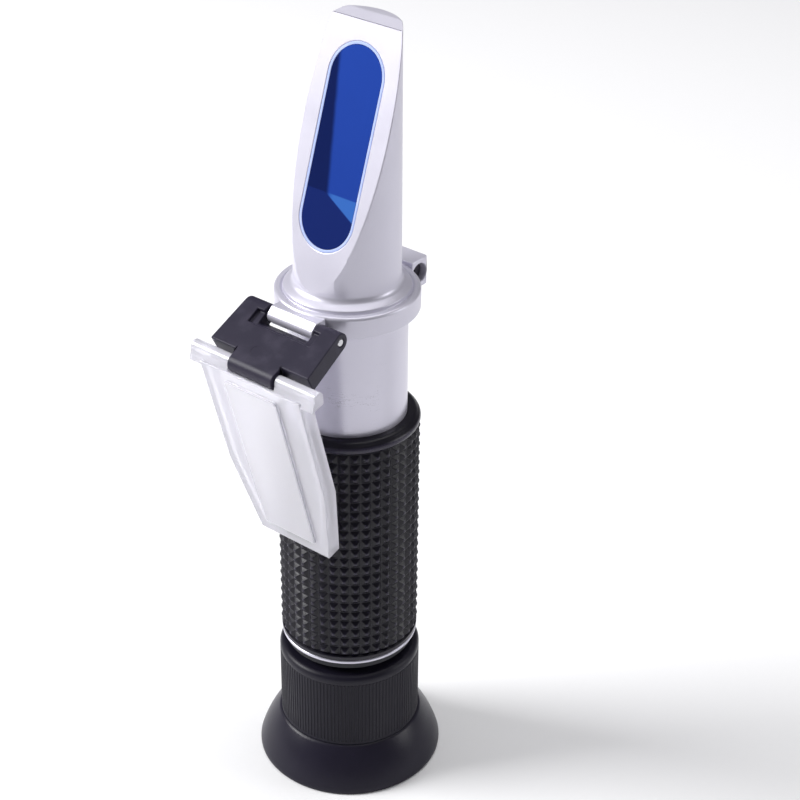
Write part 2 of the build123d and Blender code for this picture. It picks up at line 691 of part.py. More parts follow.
with BuildPart() as focus_o_ring:
    with BuildSketch(Plane.XZ):
        with Locations((O_RING_GROOVE_R + O_RING_R + 0.01, O_RING_Z)):
            Circle(O_RING_R)
    revolve(axis=Axis.Z)
save(focus_o_ring, "focus_o_ring")

cell_length = LENS_CELL_TOP - LENS_CELL_BOTTOM
key_bottom = BARREL_TOP + 0.1
with BuildPart() as lens_cell:
    with BuildSketch(Plane.XY.offset(LENS_CELL_BOTTOM)):
        Circle(LENS_CELL_R)
    extrude(amount=cell_length)
    with BuildSketch(Plane.XY.offset(key_bottom)):
        Circle(TUBE_BORE_R - 0.1)
    extrude(amount=LENS_CELL_TOP - key_bottom)
    with BuildSketch(Plane.XY.offset(LENS_CELL_BOTTOM)):
        Circle(LENS_CELL_BORE_R)
    extrude(amount=cell_length, mode=Mode.SUBTRACT)
    with BuildSketch(Plane.XY.offset(LENS_CELL_BOTTOM)):
        Circle(LENS_CELL_BORE_R + 0.1)
        Circle(LENS_SEAT_R, mode=Mode.SUBTRACT)
    extrude(amount=LENS_SEAT_T)
    # keyway for the guide pin
    with BuildSketch(Plane.XY.offset(LENS_CELL_TOP - 5.0)):
        with Locations((0, TUBE_BORE_R)):
            Rectangle(2 * GUIDE_R + 0.16, 2.8)
    extrude(amount=5.0, mode=Mode.SUBTRACT)
save(lens_cell, "lens_cell")

# the two lenses rest on the seat, the spacer and the ring
eye_edge = LENS_CELL_BOTTOM + LENS_SEAT_T + rise_at(LENS_R, LENS_BULGE, LENS_SEAT_R) + TOUCH
field_edge = eye_edge + LENS_SPACING
spacer_rise = rise_at(LENS_R, LENS_BULGE, SPACER_IN_R)
spacer_bottom = eye_edge + LENS_EDGE + spacer_rise + TOUCH
spacer_top = field_edge - spacer_rise - TOUCH
ring_bottom = field_edge + LENS_EDGE + spacer_rise + TOUCH
make_lens(LENS_R, eye_edge, LENS_EDGE, LENS_BULGE, "eye_lens")
make_ring(LENS_CELL_BORE_R - TOUCH, SPACER_IN_R, spacer_bottom, spacer_top - spacer_bottom, "lens_spacer")
make_lens(LENS_R, field_edge, LENS_EDGE, LENS_BULGE, "field_lens")
make_ring(LENS_CELL_BORE_R - TOUCH, SPACER_IN_R, ring_bottom, RING_H, "lens_retaining_ring")
retainer_bottom = LENS_CELL_BOTTOM - 0.05 - RETAINER_H
make_ring(BARREL_IN_R - TOUCH, LENS_R + 0.25, retainer_bottom, RETAINER_H, "cell_retaining_ring")

# ---------------------------------------------------------------- rubber eyecup
SHOULDER_R = 1.1
with BuildPart() as eyecup:
    with BuildSketch(Plane.XZ):
        with BuildLine():
            ThreePointArc((SLEEVE_R, FLARE_TOP), (18.15, 5.5), (RIM_R, 0.7))
            Polyline((RIM_R, 0.7), (RIM_R - 0.7, 0.0), (RIM_R - CUP_WALL, 0.0))
            ThreePointArc((RIM_R - CUP_WALL, 0.0), (15.2, 5.6), (10.4, 9.0))
            Polyline(
                (10.4, 9.0),
                (10.4, 9.95),
                (CUP_SEAT_R + 0.05, 9.95),
                (CUP_SEAT_R + 0.05, 26.55),
                (BARREL_OUT_R + 0.05, 26.55),
                (BARREL_OUT_R + 0.05, CUP_TOP),
                (SLEEVE_R - SHOULDER_R, CUP_TOP),
            )
            RadiusArc((SLEEVE_R - SHOULDER_R, CUP_TOP), (SLEEVE_R, CUP_TOP - SHOULDER_R), SHOULDER_R)
            Line((SLEEVE_R, CUP_TOP - SHOULDER_R), (SLEEVE_R, FLARE_TOP))
        make_face()
    revolve(axis=Axis.Z)
save(eyecup, "eyecup")
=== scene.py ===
"""Looks of a hand-held brix refractometer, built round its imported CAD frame.

The tube stands on the eyecup's rim, along +Z. The slanted prism face and its hinge look towards -Y.
Sizes inside the classes are in millimetres and turn into metres where a mesh is made.
"""

import json
import logging
import math
from dataclasses import dataclass
from enum import Enum
from typing import Callable, Sequence

import bmesh
import bpy
from mathutils import Matrix, Vector


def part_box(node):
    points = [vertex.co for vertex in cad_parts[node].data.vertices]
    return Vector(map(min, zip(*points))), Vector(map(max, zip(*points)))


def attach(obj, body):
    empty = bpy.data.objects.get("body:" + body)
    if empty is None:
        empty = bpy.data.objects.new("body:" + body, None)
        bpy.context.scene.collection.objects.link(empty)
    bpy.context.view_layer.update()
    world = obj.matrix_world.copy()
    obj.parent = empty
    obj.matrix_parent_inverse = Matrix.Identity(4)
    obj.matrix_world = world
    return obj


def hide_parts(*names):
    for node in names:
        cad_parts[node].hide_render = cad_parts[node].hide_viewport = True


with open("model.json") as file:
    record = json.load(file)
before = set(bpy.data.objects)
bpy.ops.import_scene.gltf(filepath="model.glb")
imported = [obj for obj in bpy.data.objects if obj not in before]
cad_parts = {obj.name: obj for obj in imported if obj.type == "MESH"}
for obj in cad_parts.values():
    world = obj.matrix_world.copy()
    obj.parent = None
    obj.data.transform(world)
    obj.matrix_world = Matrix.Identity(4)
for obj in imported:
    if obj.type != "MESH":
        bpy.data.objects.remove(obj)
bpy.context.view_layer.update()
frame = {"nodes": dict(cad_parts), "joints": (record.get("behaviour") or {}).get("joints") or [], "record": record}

LOG = logging.getLogger("refractometer")
MM = 0.001
Point = tuple[float, float]
Outline = list[Point]
Triple = tuple[float, float, float]


class Combine(Enum):
    """How one solid is combined with another."""

    JOIN = "UNION"
    CUT = "DIFFERENCE"


class Pattern(Enum):
    """Which way a metal surface was worked."""

    BLASTED = "blasted"
    TURNED = "turned"


# ---------------------------------------------------------------- places from the frame
def corners_mm(node: str) -> tuple[Vector, Vector]:
    """Lowest and highest corner of a CAD node.

    Args:
        node: Name of the CAD node.

    Returns:
        Both corners in millimetres.
    """
    low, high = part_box(node)
    return low / MM, high / MM


def pivot(joint: str) -> Vector:
    """Centre of a hinge.

    Args:
        joint: Name of the joint.

    Returns:
        Its position in metres.
    """
    found = next(j for j in frame["joints"] if j["name"] == joint)
    return Vector(found["pos_m"])


def side_place(origin: Vector, degrees: float) -> Matrix:
    """Drawing plane that stands across the hinge pins.

    Args:
        origin: Where the drawing's zero goes, in metres.
        degrees: Direction of the drawing's first axis in the YZ plane, from +Y towards +Z.

    Returns:
        Matrix whose columns are the first axis, the second axis and +X.
    """
    turn = math.radians(degrees)
    first = Vector((0, math.cos(turn), math.sin(turn)))
    across = Vector((1, 0, 0))
    second = across.cross(first)
    rows = Matrix((first, second, across)).transposed()
    return Matrix.Translation(origin) @ rows.to_4x4()


def face_place(origin: Vector, degrees: float) -> Matrix:
    """Drawing plane that lies on a slanted face, with its first axis along +X.

    Args:
        origin: Where the drawing's zero goes, in metres.
        degrees: Direction of the second axis in the YZ plane, from +Y towards +Z.

    Returns:
        Matrix whose third column is the face's normal.
    """
    turn = math.radians(degrees)
    first = Vector((1, 0, 0))
    second = Vector((0, math.cos(turn), math.sin(turn)))
    rows = Matrix((first, second, first.cross(second))).transposed()
    return Matrix.Translation(origin) @ rows.to_4x4()


def bow(start: Point, middle: Point, end: Point, steps: int) -> Outline:
    """Points along the arc through three points.

    Args:
        start: First point.
        middle: A point between them.
        end: Last point.
        steps: Number of chords.

    Returns:
        The points from start to end.
    """
    (ax, ay), (bx, by), (cx, cy) = start, middle, end
    d = 2 * (ax * (by - cy) + bx * (cy - ay) + cx * (ay - by))
    a2, b2, c2 = ax * ax + ay * ay, bx * bx + by * by, cx * cx + cy * cy
    ux = (a2 * (by - cy) + b2 * (cy - ay) + c2 * (ay - by)) / d
    uy = (a2 * (cx - bx) + b2 * (ax - cx) + c2 * (bx - ax)) / d
    radius = math.hypot(ax - ux, ay - uy)
    angles = [math.atan2(y - uy, x - ux) for x, y in (start, middle, end)]
    while angles[1] < angles[0]:
        angles[1] += 2 * math.pi
    while angles[2] < angles[0]:
        angles[2] += 2 * math.pi
    if angles[2] < angles[1]:
        angles[2] -= 2 * math.pi
    turns = [angles[0] + (angles[2] - angles[0]) * i / steps for i in range(steps + 1)]
    return [(ux + radius * math.cos(t), uy + radius * math.sin(t)) for t in turns]


def rounded(centre: Point, radius: float, start: float, end: float, steps: int) -> Outline:
    """Points along an arc given by its centre.

    Args:
        centre: Centre of the arc.
        radius: Its radius.
        start: First angle in degrees.
        end: Last angle in degrees.
        steps: Number of chords.

    Returns:
        The points from start to end.
    """
    turns = [math.radians(start + (end - start) * i / steps) for i in range(steps + 1)]
    return [(centre[0] + radius * math.cos(t), centre[1] + radius * math.sin(t)) for t in turns]


def stadium(length: float, width: float, middle: float, steps: int = 24) -> Outline:
    """Outline of a slot that runs along the second axis.

    Args:
        length: Overall length.
        width: Overall width.
        middle: Centre along the second axis.
        steps: Chords in each round end.

    Returns:
        The outline's points.
    """
    reach = (length - width) / 2
    top = rounded((0, middle + reach), width / 2, 0, 180, steps)
    return top + rounded((0, middle - reach), width / 2, 180, 360, steps)


# ---------------------------------------------------------------- shader building
class Wire:
    """One shader value that can be used in sums and products."""

    def __init__(self, shader: "Shader", socket: bpy.types.NodeSocket) -> None:
        """Wrap an output socket of a shader's node."""
        self.shader = shader
        self.socket = socket

    def math(self, operation: str, *others: "Wire | float") -> "Wire":
        """Add a Math node.

        Args:
            operation: The Math node's operation.
            others: What goes into the sockets after the first.

        Returns:
            The result.
        """
        values = dict(enumerate((self, *others)))
        return self.shader.node("ShaderNodeMath", {"operation": operation}, values)

    def __add__(self, other: "Wire | float") -> "Wire":
        """Sum."""
        return self.math("ADD", other)

    __radd__ = __add__

    def __sub__(self, other: "Wire | float") -> "Wire":
        """Difference."""
        return self.math("SUBTRACT", other)

    def __rsub__(self, other: float) -> "Wire":
        """Difference, the other way round."""
        return self * -1 + other

    def __mul__(self, other: "Wire | float") -> "Wire":
        """Product."""
        return self.math("MULTIPLY", other)

    __rmul__ = __mul__

    def step(self, low: float, high: float) -> "Wire":
        """Smooth rise.

        Args:
            low: Value at which the result is 0.
            high: Value at which the result is 1.

        Returns:
            The eased value.
        """
        settings = {"interpolation_type": "SMOOTHSTEP"}
        return self.shader.node("ShaderNodeMapRange", settings, {0: self, 1: low, 2: high, 3: 0.0, 4: 1.0})


class Shader:
    """A material under construction, with one Principled surface."""

    def __init__(self, name: str) -> None:
        """Start an empty node material with this name."""
        self.material = bpy.data.materials.new(name)
        self.material.use_nodes = True
        self.tree = self.material.node_tree
        self.tree.nodes.clear()

    def node(self, kind: str, settings: dict, values: dict, output: int | str = 0) -> Wire:
        """Add one node.

        Args:
            kind: The node's type.
            settings: Attributes that are set before anything is linked.
            values: Socket name or number to a number, a tuple or a Wire.
            output: Socket of the result.

        Returns:
            The chosen output.
        """
        made = self.tree.nodes.new(kind)
        for key, value in settings.items():
            setattr(made, key, value)
        for key, value in values.items():
            if isinstance(value, Wire):
                self.tree.links.new(value.socket, made.inputs[key])
            else:
                made.inputs[key].default_value = value
        return Wire(self, made.outputs[output])

    def place(self) -> Wire:
        """Object coordinates, which are the frame's own metres."""
        return self.node("ShaderNodeTexCoord", {}, {}, "Object")

    def axes(self) -> tuple[Wire, Wire, Wire]:
        """Object coordinates as three values in millimetres."""
        split = self.node("ShaderNodeSeparateXYZ", {}, {0: self.place()})
        outputs = split.socket.node.outputs
        return tuple(Wire(self, outputs[i]) * (1 / MM) for i in range(3))

    def along(self, origin: Vector, direction: Vector) -> Wire:
        """Distance along a direction.

        Args:
            origin: Where the distance is 0, in metres.
            direction: Unit vector.

        Returns:
            The distance in millimetres.
        """
        values = {0: self.place(), 1: tuple(direction)}
        dot = self.node("ShaderNodeVectorMath", {"operation": "DOT_PRODUCT"}, values, "Value")
        return (dot - origin.dot(direction)) * (1 / MM)

    def noise(self, size: float, detail: float = 2.0, stretch: Triple = (1, 1, 1)) -> Wire:
        """Noise about 0.5.

        Args:
            size: Size of its blobs in millimetres.
            detail: Octaves of finer noise.
            stretch: How much denser it is along each axis.

        Returns:
            The value.
        """
        spot = self.node("ShaderNodeMapping", {}, {"Vector": self.place(), "Scale": stretch})
        values = {"Vector": spot, "Scale": 1 / (size * MM), "Detail": detail}
        return self.node("ShaderNodeTexNoise", {}, values)

    def blend(self, share: Wire, first: Triple | Wire, second: Triple | Wire) -> Wire:
        """Mix two colours.

        Args:
            share: 0 gives the first and 1 the second.
            first: A colour.
            second: A colour.

        Returns:
            The mixed colour.
        """
        pair = [c if isinstance(c, Wire) else (*c, 1.0) for c in (first, second)]
        return self.node("ShaderNodeMix", {"data_type": "RGBA"}, {0: share, 6: pair[0], 7: pair[1]}, 2)

    def bump(self, height: Wire, depth: float) -> Wire:
        """Relief.

        Args:
            height: Height from 0 to 1.
            depth: What 1 stands for, in millimetres.

        Returns:
            The normal.
        """
        return self.node("ShaderNodeBump", {}, {"Strength": 1.0, "Distance": depth * MM, "Height": height})

    def surface(self, values: dict) -> bpy.types.Material:
        """Close the material.

        Args:
            values: Principled sockets to numbers, colours or wires.

        Returns:
            The material.
        """
        shine = self.node("ShaderNodeBsdfPrincipled", {}, values)
        end = self.tree.nodes.new("ShaderNodeOutputMaterial")
        self.tree.links.new(shine.socket, end.inputs["Surface"])
        return self.material


# ---------------------------------------------------------------- finishes
@dataclass(frozen=True)
class MetalFinish:
    """Metal with a worked surface."""

    name: str
    colour: Triple
    shade: Triple
    roughness: float
    pattern: Pattern
    depth: float
    metallic: float = 1.0

    def material(self) -> bpy.types.Material:
        """Build the material: fine grain or tool lines over faint clouds."""
        s = Shader(self.name)
        clouds = s.noise(9.0, 3.0)
        grain = s.noise(0.16, 2.0)
        if self.pattern is Pattern.TURNED:
            grain = grain * 0.4 + s.noise(3.0, 3.0, (1, 1, 36)) * 0.6
        share = (clouds - 0.5) * 0.8 + (grain - 0.5) * 0.5 + 0.5
        rough = (clouds - 0.5) * 0.10 + (grain - 0.5) * 0.12 + self.roughness
        return s.surface(
            {
                "Base Color": s.blend(share, self.shade, self.colour),
                "Metallic": self.metallic,
                "Roughness": rough,
                "Normal": s.bump(grain, self.depth),
            }
        )


@dataclass(frozen=True)
class RubberFinish:
    """Moulded rubber with a matt skin, polished where hands touch it, with a painted highlight on what stands
    proud.
    """

    name: str
    colour: Triple
    # The paler colour of what stands proud is wear and a painted highlight together.
    wear_and_highlight: Triple
    roughness: float
    wear_and_highlight_from: float
    wear_and_highlight_to: float
    shine: float = 0.3

    def material(self) -> bpy.types.Material:
        """Build the material: skin grain, dust in the clouds, and wear with a painted highlight on what stands
        proud.
        """
        s = Shader(self.name)
        x, y, z = s.axes()
        radius = (x * x + y * y).math("SQRT")
        clouds = s.noise(6.0, 4.0)
        grain = s.noise(0.22, 3.0)
        # Mask of what stands proud: wear and a painted highlight on the pyramid tips.
        wear_and_highlight = radius.step(self.wear_and_highlight_from, self.wear_and_highlight_to) * (clouds * 0.8 + 0.4)
        rough = (clouds - 0.5) * 0.16 + (grain - 0.5) * 0.12 - wear_and_highlight * 0.10 + self.roughness
        return s.surface(
            {
                "Base Color": s.blend(wear_and_highlight, self.colour, self.wear_and_highlight),
                "Roughness": rough,
                "Specular IOR Level": self.shine,
                "Normal": s.bump(grain * 0.7 + clouds * 0.3, 0.035),
            }
        )


@dataclass(frozen=True)
class PlasticFinish:
    """Moulded opaque plastic with a spark-eroded skin."""

    name: str
    colour: Triple
    rubbed: Triple
    roughness: float
    depth: float
    shine: float = 0.30

    def material(self) -> bpy.types.Material:
        """Build the material: fine pits, and patches rubbed a little paler."""
        s = Shader(self.name)
        pits = s.noise(0.13, 2.0)
        patches = s.noise(3.5, 4.0)
        share = patches.step(0.45, 0.75) * 0.8 + (pits - 0.5) * 0.5
        rough = (patches - 0.5) * 0.18 + (pits - 0.5) * 0.12 + self.roughness
        return s.surface(
            {
                "Base Color": s.blend(share, self.colour, self.rubbed),
                "Roughness": rough,
                "Specular IOR Level": self.shine,
                "Normal": s.bump(pits, self.depth),
            }
        )


@dataclass(frozen=True)
class ClearFinish:
    """Clear moulded plastic, hazy where it is frosted."""

    name: str
    colour: Triple
    haze: Triple
    roughness: float
    through: float
    origin: Vector
    normal: Vector
    face: float

    def material(self) -> bpy.types.Material:
        """Build the material: a frosted sample face, flow lines and fine scuffs."""
        s = Shader(self.name)
        frosted = s.along(self.origin, self.normal).step(self.face - 0.25, self.face - 0.05)
        flow = s.noise(7.0, 3.0, (1.6, 0.5, 0.5))
        scuffs = s.noise(0.3, 3.0)
        share = flow * 0.5 + frosted * 0.4 + (scuffs - 0.5) * 0.3
        rough = frosted * 0.30 + (flow - 0.5) * 0.12 + (scuffs - 0.5) * 0.10 + self.roughness
        return s.surface(
            {
                "Base Color": s.blend(share, self.colour, self.haze),
                "Roughness": rough,
                "Transmission Weight": self.through,
                "IOR": 1.49,
                "Normal": s.bump(scuffs * 0.3 + flow * 0.7, 0.008),
            }
        )


@dataclass(frozen=True)
class PrismFinish:
    """Polished blue prism, with the light and shade of the facets seen inside it painted on its face."""

    name: str
    origin: Vector
    up: Vector
    blue: Triple = (0.018, 0.058, 0.350)
    dim: Triple = (0.015, 0.048, 0.290)
    # deep, foot and the lit-facet colour are the painted shade and painted light of the facets seen inside the
    # glass.
    deep: Triple = (0.006, 0.013, 0.080)
    foot: Triple = (0.009, 0.020, 0.125)
    painted_lit_facet: Triple = (0.038, 0.130, 0.450)

    def material(self) -> bpy.types.Material:
        """Build the material: painted shade on the side wall, a painted highlight on a facet low down and painted
        shade on a dark foot.
        """
        s = Shader(self.name)
        x, _, _ = s.axes()
        rise = s.along(self.origin, self.up)
        swirl = s.noise(5.0, 2.0)
        dust = s.noise(0.25, 2.0)
        # Painted shade on the side wall, then a painted highlight on the low facet and painted shade on the foot.
        wall = (x + rise * 0.1463 + 5.73 + (swirl - 0.5) * 0.5).step(0.6, -0.6)
        ledge = rise.step(-32.55, -32.85)
        below = (rise + (x + 1.06) * 0.53).step(-32.75, -33.15)
        tone = s.blend((rise * 0.03 + 1.0) * 0.7 + swirl * 0.3, self.dim, self.blue)
        tone = s.blend(wall, tone, self.deep)
        tone = s.blend(ledge * (1 - below) * x.step(-1.3, 0.6), tone, self.painted_lit_facet)
        tone = s.blend(below * ledge, tone, self.foot)
        return s.surface(
            {
                "Base Color": tone,
                "Roughness": dust * 0.05 + swirl * 0.04 + 0.04,
                "Specular IOR Level": 0.10,
                "Normal": s.bump(swirl, 0.004),
            }
        )


@dataclass(frozen=True)
class LensFinish:
    """Polished lens glass with a faint coating."""

    name: str
    tint: Triple
    bloom: Triple

    def material(self) -> bpy.types.Material:
        """Build the material: a coating that drifts in colour, and a trace of dust."""
        s = Shader(self.name)
        coating = s.noise(6.0, 2.0)
        dust = s.noise(0.3, 3.0).step(0.62, 0.80)
        return s.surface(
            {
                "Base Color": s.blend(coating, self.tint, self.bloom),
                "Roughness": dust * 0.12 + 0.02,
                "Transmission Weight": 0.92,
                "IOR": 1.52,
                "Normal": s.bump(coating, 0.002),
            }
        )


@dataclass(frozen=True)
class PaperFinish:
    """Plain pale backdrop paper."""

    name: str
    colour: Triple

    def material(self) -> bpy.types.Material:
        """Build the material: a matt sheet with a faint tooth."""
        s = Shader(self.name)
        tooth = s.noise(1.5, 3.0)
        paler = tuple(min(1.0, c * 1.02) for c in self.colour)
        return s.surface(
            {
                "Base Color": s.blend(tooth, self.colour, paler),
                "Roughness": (tooth - 0.5) * 0.1 + 0.85,
                "Normal": s.bump(tooth, 0.02),
            }
        )


# ---------------------------------------------------------------- modelling tools
class Bench:
    """The tools that shape every piece."""

    @staticmethod
    def clear() -> None:
        """Leave edit mode and deselect everything."""
        active = bpy.context.object
        if active is not None and active.mode == "EDIT":
            bpy.ops.object.mode_set(mode="OBJECT")
        bpy.ops.object.select_all(action="DESELECT")

    @staticmethod
    def pick(piece: bpy.types.Object) -> None:
        """Make one piece the only selected and active one."""
        Bench.clear()
        piece.select_set(True)
        bpy.context.view_layer.objects.active = piece

    @staticmethod
    def turned(name: str, profile: Outline, segments: int = 192, hollow: bool = True) -> bpy.types.Object:
        """Turn a section about the tube's axis: a ring is extruded and resized from point to point.

        Args:
            name: Name of the piece.
            profile: (radius, height) points round the section.
            segments: Points in each ring.
            hollow: A closed section, or else a solid with flat ends.

        Returns:
            The piece.
        """
        Bench.clear()
        radius, height = profile[0]
        fill = "NOTHING" if hollow else "NGON"
        bpy.ops.mesh.primitive_circle_add(vertices=segments, radius=radius * MM, fill_type=fill)
        piece = bpy.context.object
        piece.name = name
        bpy.ops.object.mode_set(mode="EDIT")
        bpy.ops.mesh.select_mode(type="VERT")
        bpy.ops.mesh.select_all(action="SELECT")
        bpy.ops.transform.translate(value=(0, 0, height * MM))
        back = profile[:1] if hollow else []
        for (r0, z0), (r1, z1) in zip(profile, profile[1:] + back):
            lift = {"value": (0, 0, (z1 - z0) * MM)}
            bpy.ops.mesh.extrude_region_move(TRANSFORM_OT_translate=lift)
            if abs(r1 - r0) > 1e-6:
                size = r1 / r0
                bpy.ops.transform.resize(value=(size, size, 1), center_override=(0, 0, z1 * MM))
        Bench.close()
        return piece

    @staticmethod
    def close() -> None:
        """Merge doubles, turn the normals outwards and leave edit mode."""
        bpy.ops.mesh.select_all(action="SELECT")
        bpy.ops.mesh.remove_doubles(threshold=1e-6)
        bpy.ops.mesh.normals_make_consistent(inside=False)
        bpy.ops.object.mode_set(mode="OBJECT")

    @staticmethod
    def block(name: str, corners: Outline, span: Point, place: Matrix) -> bpy.types.Object:
        """Draw an outline corner by corner, fill it and pull it into a block.

        Args:
            name: Name of the piece.
            corners: Points of the outline, in the drawing plane.
            span: Where the block starts and ends along the third axis.
            place: The drawing plane.

        Returns:
            The piece, in place.
        """
        Bench.clear()
        bpy.ops.mesh.primitive_plane_add(size=MM)
        piece = bpy.context.object
        piece.name = name
        bpy.ops.object.mode_set(mode="EDIT")
        bpy.ops.mesh.select_mode(type="VERT")
        bpy.ops.mesh.select_all(action="SELECT")
        bpy.ops.mesh.merge(type="CENTER")
        bpy.ops.transform.translate(value=(corners[0][0] * MM, corners[0][1] * MM, span[0] * MM))
        for (a0, b0), (a1, b1) in zip(corners, corners[1:] + corners[:1]):
            step = ((a1 - a0) * MM, (b1 - b0) * MM, 0)
            bpy.ops.mesh.extrude_vertices_move(TRANSFORM_OT_translate={"value": step})
        bpy.ops.mesh.select_all(action="SELECT")
        bpy.ops.mesh.remove_doubles(threshold=1e-6)
        bpy.ops.mesh.edge_face_add()
        rise = {"value": (0, 0, (span[1] - span[0]) * MM)}
        bpy.ops.mesh.extrude_region_move(TRANSFORM_OT_translate=rise)
        Bench.close()
        piece.matrix_world = place
        Bench.settle(piece)
        return piece

    @staticmethod
    def rod(
        name: str, radius: float, span: Point, place: Matrix, steps: int = 32
    ) -> bpy.types.Object:
        """Round rod along the third axis of a drawing plane.

        Args:
            name: Name of the piece.
            radius: Its radius.
            span: Where it starts and ends.
            place: The drawing plane.
            steps: Sides of the rod.

        Returns:
            The piece, in place.
        """
        ring = rounded((0, 0), radius, 0, 360 - 360 / steps, steps - 1)
        return Bench.block(name, ring, span, place)

    @staticmethod
    def combine(piece: bpy.types.Object, tool: bpy.types.Object, how: Combine) -> None:
        """Join a tool to a piece or cut it out, and remove the tool.

        Args:
            piece: The piece that stays.
            tool: The solid that is used up.
            how: Join or cut.
        """
        Bench.pick(piece)
        bpy.ops.object.modifier_add(type="BOOLEAN")
        modifier = piece.modifiers[-1]
        modifier.operation = how.value
        modifier.solver = "EXACT"
        modifier.object = tool
        bpy.ops.object.modifier_apply(modifier=modifier.name)
        bpy.data.objects.remove(tool)

    @staticmethod
    def soften(
        piece: bpy.types.Object,
        width: float,
        rounds: int = 3,
        above: float = 35,
        levels: Sequence[float] = (),
    ) -> None:
        """Round the sharp edges.

        Args:
            piece: The piece.
            width: Width of the rounding.
            rounds: Strips across it.
            above: Edges sharper than this many degrees are rounded.
            levels: Heights at which long upright faces are divided, so that the rounding
                bends them only near its corners.
        """
        Bench.pick(piece)
        bpy.ops.object.mode_set(mode="EDIT")
        bpy.ops.mesh.select_all(action="SELECT")
        bpy.ops.mesh.remove_doubles(threshold=2e-6)
        bpy.ops.mesh.dissolve_limited(angle_limit=math.radians(0.5))
        bpy.ops.object.mode_set(mode="OBJECT")
        bpy.ops.object.modifier_add(type="BEVEL")
        modifier = piece.modifiers[-1]
        modifier.width = width * MM
        modifier.segments = rounds
        modifier.limit_method = "ANGLE"
        modifier.angle_limit = math.radians(above)
        modifier.use_clamp_overlap = False
        bpy.ops.object.modifier_apply(modifier=modifier.name)
        bpy.ops.object.mode_set(mode="EDIT")
        for level in levels:
            bpy.ops.mesh.select_all(action="SELECT")
            bpy.ops.mesh.bisect(plane_co=(0, 0, level * MM), plane_no=(0, 0, 1))
        bpy.ops.object.mode_set(mode="OBJECT")

    @staticmethod
    def select_faces(piece: bpy.types.Object, test: Callable[[Vector, Vector], bool]) -> None:
        """Select the faces that pass a test, in edit mode.

        Args:
            piece: The piece in edit mode.
            test: Says yes or no to a face's centre in millimetres and its normal.
        """
        mesh = bmesh.from_edit_mesh(piece.data)
        bpy.ops.mesh.select_mode(type="FACE")
        bpy.ops.mesh.select_all(action="DESELECT")
        for face in [f for f in mesh.faces if test(f.calc_center_median() / MM, f.normal)]:
            face.select_set(True)
        bmesh.update_edit_mesh(piece.data)

    @staticmethod
    def settle(piece: bpy.types.Object) -> None:
        """Put the place of a piece into its mesh."""
        Bench.pick(piece)
        bpy.ops.object.transform_apply(location=True, rotation=True, scale=True)

    @staticmethod
    def hand_over(
        piece: bpy.types.Object,
        material: bpy.types.Material,
        body: str,
        slot: str,
        nodes: tuple[str, ...],
        angle: float = 32,
    ) -> None:
        """Smooth a finished piece, dress it and tell the frame about it.

        Args:
            piece: The piece.
            material: Its material.
            body: CAD body that it rides on.
            slot: Slot of the record's materials; not used.
            nodes: CAD nodes that it stands for.
            angle: Edges sharper than this many degrees stay sharp.
        """
        Bench.settle(piece)
        bpy.ops.object.mode_set(mode="EDIT")
        bpy.ops.mesh.select_mode(type="VERT")
        bpy.ops.mesh.select_all(action="SELECT")
        bpy.ops.mesh.remove_doubles(threshold=1e-6)
        bpy.ops.mesh.dissolve_degenerate(threshold=1e-6)
        bpy.ops.mesh.select_all(action="SELECT")
        bpy.ops.mesh.fill_holes(sides=12)
        Bench.close()
        bpy.ops.object.shade_smooth_by_angle(angle=math.radians(angle))
        bpy.ops.object.modifier_add(type="WEIGHTED_NORMAL")
        modifier = piece.modifiers[-1]
        modifier.keep_sharp = True
        bpy.ops.object.modifier_apply(modifier=modifier.name)
        piece.data.materials.clear()
        piece.data.materials.append(material)
        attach(piece, body)
        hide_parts(*nodes)
        LOG.info("%s: %d faces on %s", piece.name, len(piece.data.polygons), body)


